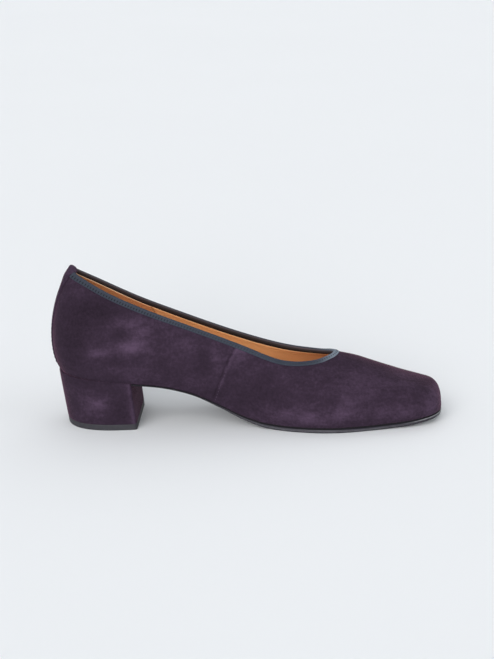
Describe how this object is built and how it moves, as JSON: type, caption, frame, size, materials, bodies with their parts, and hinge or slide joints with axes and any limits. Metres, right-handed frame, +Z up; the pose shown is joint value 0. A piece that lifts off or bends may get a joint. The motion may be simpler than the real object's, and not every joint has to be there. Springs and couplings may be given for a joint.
{
  "type": "pump shoe",
  "caption": "Women's suede pump for the left foot, with a square toe, bound topline and low covered block heel, standing empty on its sole.",
  "frame": {"origin": "middle of the shoe's box on the floor that it stands on", "axes": "+X to the toe, +Y to the outer side of the foot, +Z up"},
  "size_m": [0.2485, 0.0826, 0.1009],
  "materials": {
    "suede": "napped suede, aubergine",
    "binding": "ribbed tape, slate blue",
    "insole_leather": "smooth leather, tan",
    "sole_rubber": "satin, black",
    "top_piece_rubber": "satin, dark grey"
  },
  "bodies": {
    "root": {"upper": "suede", "topline_binding": "binding", "back_strip": "suede", "insole": "insole_leather", "outsole": "sole_rubber", "heel_block": "suede", "heel_top_piece": "top_piece_rubber"}
  },
  "joints": []
}
